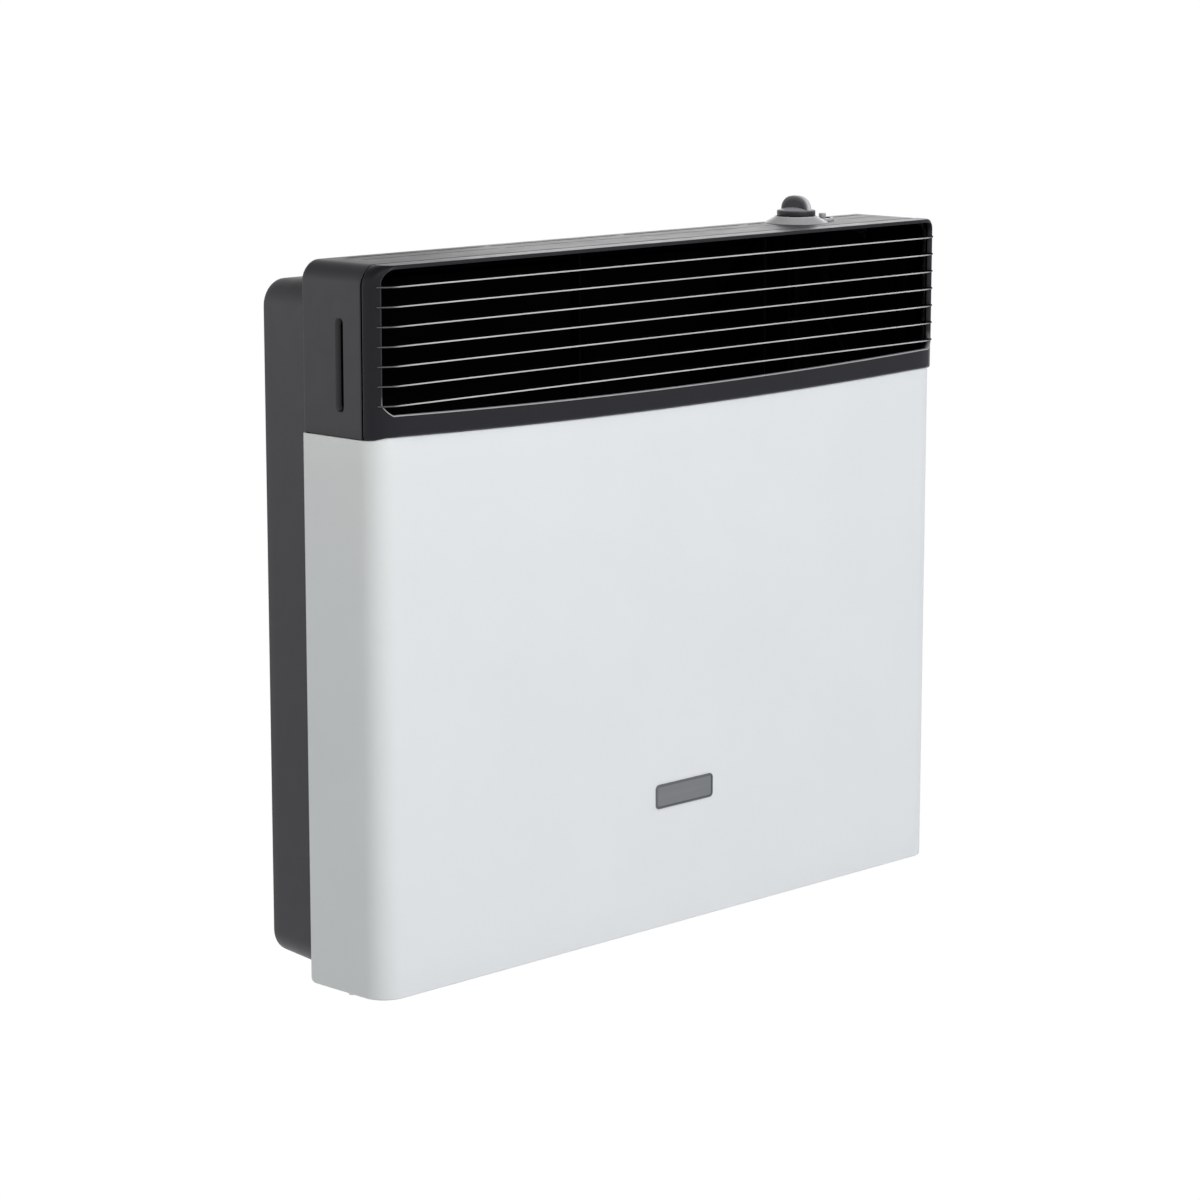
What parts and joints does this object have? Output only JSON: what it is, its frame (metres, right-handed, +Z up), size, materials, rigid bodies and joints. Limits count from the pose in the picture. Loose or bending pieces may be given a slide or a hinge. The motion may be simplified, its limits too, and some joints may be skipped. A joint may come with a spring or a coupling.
{
  "type": "wall mounted gas heater",
  "caption": "Flat balanced-flue gas heater for a wall: white sheet front, dark wrap-round louvred outlet, slotted top with a control knob and push igniter, rear flue spigot.",
  "frame": {"origin": "middle of the four wall screw holes, on the wall plane", "axes": "+X to the right as seen from the room, +Y into the wall, +Z up"},
  "size_m": [0.695, 0.1943, 0.6287],
  "materials": {
    "casing_white": "smooth semi-gloss stove enamel",
    "casing_dark": "satin dark grey paint",
    "grille_black": "satin near-black paint",
    "louvre_metal": "dark anodised with bright edges",
    "badge_metal": "fine brushed",
    "bezel_metal": "satin",
    "knob_plastic": "moulded, satin",
    "button_plastic": "moulded, glossy",
    "control_black": "moulded, matt",
    "zinc_steel": "zinc plated",
    "steel": "bright drawn",
    "chamber_steel": "heat-proof enamel",
    "dark_sheet": "dull heat-proof paint",
    "burner_steel": "heat tinted stainless",
    "duct_metal": "drawn tube",
    "valve_brass": "machined",
    "pipe_copper": "drawn copper, slightly dulled",
    "seal_fibre": "pressed ceramic fibre",
    "ceramic": "glazed ceramic",
    "lead_sleeve": "silicone sleeve",
    "sight_glass": "clear heat-proof glass"
  },
  "bodies": {
    "root": {"rear_pan": "casing_dark", "front_panel": "casing_white", "top_hood": "casing_dark", "grille_frame": "grille_black", "louvre_1": "louvre_metal", "louvre_2": "louvre_metal", "louvre_3": "louvre_metal", "louvre_4": "louvre_metal", "louvre_5": "louvre_metal", "louvre_6": "louvre_metal", "louvre_7": "louvre_metal", "louvre_rib_left": "grille_black", "louvre_rib_right": "grille_black", "badge_plate": "badge_metal", "control_bezel": "bezel_metal", "rod_guide": "zinc_steel", "valve_spring": "steel", "valve_bonnet": "valve_brass", "valve_body": "valve_brass", "valve_cap": "valve_brass", "valve_bracket": "zinc_steel", "igniter_spring": "steel", "igniter_body": "control_black", "igniter_nut": "control_black", "ignition_lead": "lead_sleeve", "electrode_insulator": "ceramic", "electrode_pin": "steel", "inlet_pipe": "pipe_copper", "inlet_union": "valve_brass", "burner_feed_pipe": "pipe_copper", "injector": "valve_brass", "burner_tube": "burner_steel", "burner_bracket_left": "burner_steel", "burner_bracket_right": "burner_steel", "pilot_burner": "valve_brass", "pilot_tube": "steel", "thermocouple": "pipe_copper", "pilot_bracket": "zinc_steel", "service_plate": "zinc_steel", "service_gasket": "seal_fibre", "chamber_front": "chamber_steel", "chamber_rear": "chamber_steel", "chamber_gasket": "seal_fibre", "sight_glass": "sight_glass", "sight_glass_frame": "zinc_steel", "divider_plate": "burner_steel", "exhaust_duct": "duct_metal", "air_collar": "duct_metal", "heat_deflector": "dark_sheet", "bay_shield": "zinc_steel", "chamber_rails": "zinc_steel", "chamber_screws": "steel", "casing_screws": "steel", "casing_brackets": "zinc_steel"},
    "plug": {"valve_plug": "valve_brass"},
    "control": {"control_knob": "knob_plastic", "control_rod": "steel", "valve_spindle": "steel", "spring_cup": "steel"},
    "igniter": {"igniter_button": "button_plastic"}
  },
  "joints": [
    {"name": "knob_turn", "type": "hinge", "parent": "root", "child": "plug", "pos_m": [0.217, -0.09, -0.19], "axis": [0, 0, 1], "range_deg": [0, 210]},
    {"name": "knob_push", "type": "slide", "parent": "plug", "child": "control", "axis": [0, 0, -1], "range_m": [0, 0.003], "stiffness_N_per_m": 1500, "springref_m": -0.004, "deforming": ["valve_spring"]},
    {"name": "igniter_press", "type": "slide", "parent": "root", "child": "igniter", "axis": [0, 0, -1], "range_m": [0, 0.0035], "stiffness_N_per_m": 500, "springref_m": -0.004, "deforming": ["igniter_spring"]}
  ]
}
